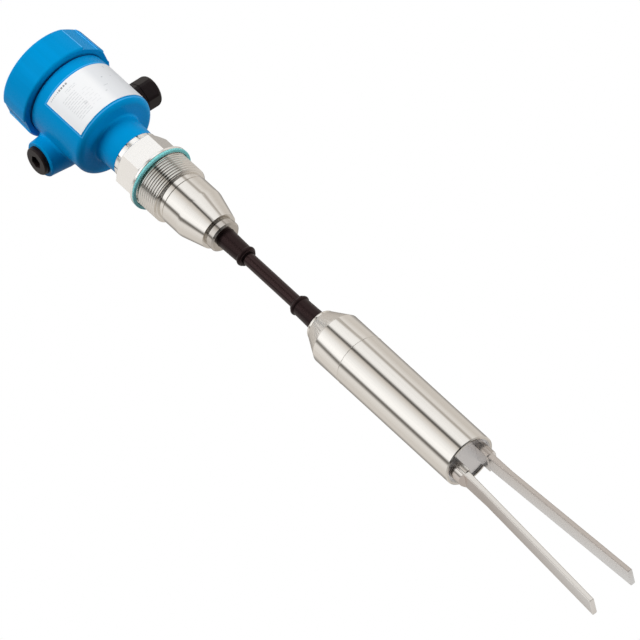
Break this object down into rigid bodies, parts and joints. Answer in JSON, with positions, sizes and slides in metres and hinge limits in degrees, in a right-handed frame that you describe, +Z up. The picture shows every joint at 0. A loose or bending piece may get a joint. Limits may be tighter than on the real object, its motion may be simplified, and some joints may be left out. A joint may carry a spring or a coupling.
{
  "type": "level switch",
  "caption": "Vibrating-fork level switch for bulk solids: screw-lid housing on a threaded process fitting, with the fork's sensor tube hung below on a suspension cable.",
  "frame": {"origin": "centre of the sealing plane under the gasket, on the axis of the process thread", "axes": "+Z up through the housing to the lid, -Z down along the cable to the fork, +X along the cable gland, -X along the blind plug, -Y through the middle of the label"},
  "size_m": [0.1099, 0.0814, 0.6487],
  "materials": {
    "steel": "turned",
    "tube_steel": "polished along its length",
    "tine_steel": "brushed",
    "diaphragm_steel": "satin",
    "bright_steel": "bright",
    "gasket_teal": "matte",
    "seal_rubber": "matte",
    "sleeve_rubber": "satin",
    "cable_black": "satin",
    "housing_blue": "satin",
    "label_white": "matte",
    "black_plastic": "satin",
    "module_grey": "matte",
    "terminal_green": "satin",
    "slider_white": "satin",
    "lamp_green": "clear",
    "lamp_red": "clear",
    "brass": "satin",
    "piezo_ceramic": "matte"
  },
  "bodies": {
    "base": {"process_fitting": "steel", "process_gasket": "gasket_teal", "neck_seal": "seal_rubber", "housing": "housing_blue", "rating_label": "label_white", "blind_plug": "black_plastic", "blind_plug_seal": "seal_rubber", "gland_body": "black_plastic", "gland_o_ring": "seal_rubber", "electronics_module": "module_grey", "module_screws": "bright_steel", "terminal_block": "terminal_green", "terminal_screws": "bright_steel", "terminal_clamps": "brass", "switch_frame": "black_plastic", "green_lamp": "lamp_green", "red_lamp": "lamp_red", "cable_plug": "black_plastic", "cone_body": "steel", "upper_clamp": "brass", "lower_clamp": "brass", "upper_collar": "bright_steel", "lower_collar": "bright_steel", "upper_sleeve": "sleeve_rubber", "lower_sleeve": "sleeve_rubber", "suspension_cable": "cable_black", "tube_cap": "steel", "sensor_tube": "tube_steel", "diaphragm": "diaphragm_steel", "right_tine": "tine_steel", "left_tine": "tine_steel", "drive_stud": "bright_steel", "pressure_piece": "bright_steel", "insulating_washers": "slider_white", "contact_discs": "brass", "piezo_rings": "piezo_ceramic", "spring_washer": "bright_steel", "drive_nut": "bright_steel"},
    "lid_carrier": {"lid_seal": "seal_rubber"},
    "lid": {"lid": "housing_blue"},
    "gland_feed": {"gland_seal_insert": "seal_rubber"},
    "gland_nut": {"gland_nut": "black_plastic"},
    "failsafe_slider": {"failsafe_slider": "slider_white"},
    "density_slider": {"density_slider": "slider_white"},
    "adjust_dial": {"adjust_dial": "slider_white"}
  },
  "joints": [
    {"name": "lid_lift", "type": "slide", "parent": "base", "child": "lid_carrier", "axis": [0, 0, 1], "range_m": [0, 0.012]},
    {"name": "lid_turn", "type": "hinge", "parent": "lid_carrier", "child": "lid", "pos_m": [0, 0, 0.117], "axis": [0, 0, 1], "range_deg": [0, 1440]},
    {"name": "gland_feed", "type": "slide", "parent": "base", "child": "gland_feed", "axis": [1, 0, 0], "range_m": [0, 0.0045]},
    {"name": "gland_turn", "type": "hinge", "parent": "gland_feed", "child": "gland_nut", "pos_m": [0.0561, 0.025, 0.0895], "axis": [1, 0, 0], "range_deg": [0, 1080]},
    {"name": "failsafe_slide", "type": "slide", "parent": "base", "child": "failsafe_slider", "axis": [0, 1, 0], "range_m": [0, 0.0028]},
    {"name": "density_slide", "type": "slide", "parent": "base", "child": "density_slider", "axis": [0, 1, 0], "range_m": [0, 0.0028]},
    {"name": "adjust_turn", "type": "hinge", "parent": "base", "child": "adjust_dial", "pos_m": [0.008, -0.011, 0.0941], "axis": [0, 0, 1], "range_deg": [0, 270]}
  ],
  "couplings": [
    {"joint": "lid_lift", "follows": "lid_turn", "m_per_rad": 0.00047746},
    {"joint": "gland_feed", "follows": "gland_turn", "m_per_rad": 0.00023873}
  ]
}
